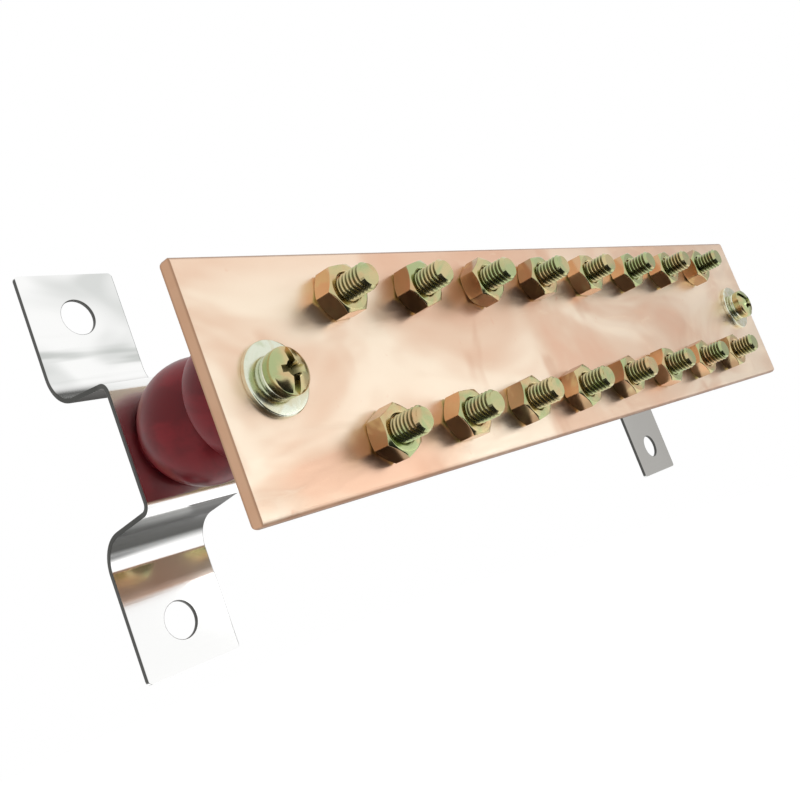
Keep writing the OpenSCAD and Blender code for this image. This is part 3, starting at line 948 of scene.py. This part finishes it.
def slot_cutter(width, top, bottom, height, depth, turn):
    """Wedge that cuts a wing of a driver recess into a head; top and bottom are half widths."""
    rise = 1.0 * MM
    flare = (top - bottom) / depth * rise
    section = [(-bottom, -depth), (bottom, -depth), (top + flare, rise), (-top - flare, rise)]
    sides = [[Vector((x, y, height + z)) for x, z in section] for y in (-width / 2, width / 2)]
    cutter = loft("recess_cutter", sides)
    cutter.data.transform(Matrix.Rotation(radians(turn), 4, "Z"))
    return cutter


class BUSBAR_OT_washers(Operator):
    """Flat washers and split spring washers under the pan heads"""
    bl_idname = "busbar.washers"
    bl_label = "Washers"

    def execute(self, context):
        material = surface(pale_zinc)
        for kind in ("end_flat_washer_", "bracket_flat_washer_"):
            size = size_of(kind + "left")
            washer = flat_washer(kind + "ring", size.x / 2, size.y, material)
            nodes = named(kind)
            piece = placed(kind + "plated", washer, [washer_place(n) for n in nodes], material)
            stand_in(piece, "washer_zinc", *nodes)
        nodes = [n for n in frame["nodes"] if "spring_washer" in n]
        piece = placed("spring_washers_split", spring_washer(context.scene.busbar_fasteners),
                       [washer_place(n) for n in sorted(nodes)], material)
        stand_in(piece, "washer_zinc", *nodes)
        return {"FINISHED"}


def washer_place(node):
    """Place of a washer, which faces the front at the bar and the wall at a bracket."""
    to_wall = node.startswith("bracket")
    return facing(node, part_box(node)[0 if to_wall else 1].y, to_wall=to_wall)


def flat_washer(name, radius, thickness, material):
    """Stamped ring, rounder on its upper rim."""
    bore = FLAT_WASHER_BORE
    corners = [(bore, 0.0), (radius, 0.0), (radius, thickness), (bore, thickness)]
    profile = rounded([Vector((r, h, 0.0)) for r, h in corners],
                      [0.12 * MM, 0.15 * MM, 0.35 * MM, 0.2 * MM])
    return shade(turned(name, [point[:2] for point in profile], 96, material), 40.0)


def spring_washer(sizes):
    """Ring of square wire with a slanting slit."""
    size = size_of("end_spring_washer_left")
    outer, thick = size.x / 2, size.y
    inner, soft = SPRING_WASHER_BORE, 0.18 * MM
    section = [(inner, soft), (inner + soft, 0.0), (outer - soft, 0.0), (outer, soft),
               (outer, thick - soft), (outer - soft, thick), (inner + soft, thick), (inner, thick - soft)]
    slope, steps = tan(radians(25)), 80
    rows = []
    for i in range(steps + 1):
        row = []
        for r, h in section:
            gap = (sizes.slit_width / 2) / r
            slant = -(h - thick / 2) * slope / r
            start, end = sizes.slit_angle + gap + slant, sizes.slit_angle + tau - gap + slant
            angle = start + (end - start) * i / steps
            row.append((r * cos(angle), r * sin(angle), h))
        rows.append(row)
    return shade(loft("spring_washer", rows, capped=True), 50.0)


class BUSBAR_OT_stage(Operator):
    """Pale floor, soft lamps, dark cards and the camera"""
    bl_idname = "busbar.stage"
    bl_label = "Stage"

    def execute(self, context):
        settings = context.scene.busbar_stage
        place_camera(context.scene, settings)
        room_light(context.scene, settings)
        lowest = min(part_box("bracket_" + s)[0].z for s in SIDES)
        floor_and_lamps(lowest - settings.floor_gap)
        context.scene.view_settings.view_transform = "Standard"
        return {"FINISHED"}


def place_camera(scene, settings):
    """Camera looking at the aim from its azimuth and elevation, turned by its roll."""
    a, e = settings.azimuth, settings.elevation
    back = Vector((sin(a) * cos(e), -cos(a) * cos(e), sin(e)))
    across = Vector((0, 0, 1)).cross(back).normalized()
    up = back.cross(across)
    c, s = cos(settings.roll), sin(settings.roll)
    right, top = across * c - up * s, up * c + across * s
    data = bpy.data.cameras.new("camera")
    data.lens = settings.lens
    data.sensor_width = 36.0
    data.clip_start, data.clip_end = 0.01, 60.0
    camera = show("camera", data)
    turn = Matrix((right, top, back)).transposed()
    stand = Vector(settings.aim) + back * settings.distance
    camera.matrix_world = Matrix.Translation(stand) @ turn.to_4x4()
    scene.camera = camera


def room_light(scene, settings):
    """World that is white where it is seen or mirrored and softer as a lamp."""
    world = bpy.data.worlds.new("room")
    scene.world = world
    net = blank_tree(world)
    strength = settings.world_light + seen_rays(net) * (1.0 - settings.world_light)
    light = net.node("ShaderNodeBackground", None, {"Color": WHITE, "Strength": strength})
    net.node("ShaderNodeOutputWorld", None, {"Surface": light})


def seen_rays(net):
    """1 for rays from the camera and for mirrored and refracted rays."""
    path = net.node("ShaderNodeLightPath", None, None, "Is Camera Ray")
    return net.clamp(path + path.out("Is Glossy Ray") + path.out("Is Transmission Ray"))


def floor_finish():
    material = bpy.data.materials.new("pale_floor")
    net = blank_tree(material)
    matt = net.node("ShaderNodeBsdfDiffuse", None, {"Color": (0.86, 0.86, 0.86, 1.0)})
    glow = net.node("ShaderNodeEmission", None, {"Color": WHITE, "Strength": seen_rays(net) * FLOOR_GLOW})
    both = net.node("ShaderNodeAddShader", None, {0: matt, 1: glow})
    net.node("ShaderNodeOutputMaterial", None, {"Surface": both})
    return material


MIDDLE = Vector((0.0, -0.05, 0.0))
LAMPS = {
    # direction from the bar, distance, width, height, brightness, whether metal mirrors it
    "key_lamp": ((-0.45, -0.62, 0.75), 1.2, 0.9, 0.9, 1.4, False),
    "top_lamp": ((0.25, 0.05, 0.97), 1.2, 0.9, 0.7, 1.4, False),
    "window_lamp": ((0.70, -0.71, 0.0), 1.2, 0.40, 0.06, 2.4, True),
}
CARDS = {
    # direction from the bar, distance, width, height, brightness, share of the edge that is soft
    "low_card": ((-0.25, -0.59, -0.77), 0.45, 0.74, 0.84, 0.03, 0.2),
    "right_card": ((0.990, -0.139, 0.08), 0.9, 0.80, 0.9, 0.62, 0.5),
    "back_card": ((0.66, 0.74, -0.03), 0.6, 0.90, 0.60, 0.20, 0.3),
}


def standing(name, data, direction, distance):
    """Object that stands in this direction from the bar and faces it."""
    away = Vector(direction).normalized()
    piece = show(name, data)
    piece.location = MIDDLE + away * distance
    piece.rotation_euler = away.to_track_quat("Z", "Y").to_euler()
    return piece


def flat_sheet(name):
    """Square of 2 by 2 metres, before its object's scale."""
    return mesh_of(name, [(-1, -1, 0), (1, -1, 0), (1, 1, 0), (-1, 1, 0)], [(0, 1, 2, 3)])


def floor_and_lamps(level):
    """Pale floor at this level, the soft lamps, and the cards that metal mirrors."""
    floor = show("floor", flat_sheet("floor"))
    floor.location = (0.0, 0.0, level)
    floor.scale = (6.0, 6.0, 1.0)
    floor.data.materials.append(floor_finish())
    for name, (direction, distance, width, height, brightness, mirrored) in LAMPS.items():
        data = bpy.data.lights.new(name, "AREA")
        data.shape = "RECTANGLE"
        data.size, data.size_y = width, height
        data.energy = brightness * pi * width * height
        standing(name, data, direction, distance).visible_glossy = mirrored
    for name, (direction, distance, width, height, brightness, soft) in CARDS.items():
        sheet = standing(name, flat_sheet(name), direction, distance)
        sheet.scale = (width / 2, height / 2, 1.0)
        sheet.data.materials.append(card_finish(name, brightness, soft))
        for ray in ("camera", "diffuse", "shadow", "transmission"):
            setattr(sheet, "visible_" + ray, False)


def card_finish(name, brightness, soft):
    """Dark cloth that fades out towards its edges, for mirrored rays alone."""
    material = bpy.data.materials.new(name)
    net = blank_tree(material)
    place = net.split(net.node("ShaderNodeTexCoord").out("Object"))
    inside_x = net.ramp(1.0 - abs(place), 0.0, soft)
    inside_y = net.ramp(1.0 - abs(place.out("Y")), 0.0, soft)
    clear = net.node("ShaderNodeBsdfTransparent")
    cloth = net.node("ShaderNodeEmission", None, {"Color": (1.0, 0.95, 0.92, 1.0), "Strength": brightness})
    both = net.node("ShaderNodeMixShader", None, {0: inside_x * inside_y, 1: clear, 2: cloth})
    net.node("ShaderNodeOutputMaterial", None, {"Surface": both})
    return material


# --- panel and registering

PIECES = (BUSBAR_OT_bar, BUSBAR_OT_brackets, BUSBAR_OT_insulators, BUSBAR_OT_bolts,
          BUSBAR_OT_nuts, BUSBAR_OT_screws, BUSBAR_OT_washers, BUSBAR_OT_stage)
SETTINGS = {
    "busbar_fasteners": FastenerSizes,
    "busbar_insulators": InsulatorSizes,
    "busbar_finishes": Finishes,
    "busbar_stage": StageSettings,
}


class BUSBAR_PT_panel(Panel):
    """Lists the steps that dress the busbar, and their settings"""
    bl_label = "Busbar"
    bl_idname = "BUSBAR_PT_panel"
    bl_space_type = "VIEW_3D"
    bl_region_type = "UI"
    bl_category = "Busbar"

    def draw(self, context):
        for step in PIECES:
            self.layout.operator(step.bl_idname)
        for name, group in SETTINGS.items():
            box = self.layout.box()
            for field in group.__annotations__:
                box.prop(getattr(context.scene, name), field)


def register():
    for group in (*SETTINGS.values(), *PIECES, BUSBAR_PT_panel):
        bpy.utils.register_class(group)
    for name, group in SETTINGS.items():
        setattr(bpy.types.Scene, name, PointerProperty(type=group))


def unregister():
    for name in SETTINGS:
        delattr(bpy.types.Scene, name)
    for group in reversed((*SETTINGS.values(), *PIECES, BUSBAR_PT_panel)):
        bpy.utils.unregister_class(group)


def main():
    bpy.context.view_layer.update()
    register()
    for step in PIECES:
        area, verb = step.bl_idname.split(".")
        if getattr(getattr(bpy.ops, area), verb)() != {"FINISHED"}:
            raise RuntimeError(step.bl_label + " was not finished")
    bpy.context.view_layer.update()


if __name__ == "__main__":
    main()
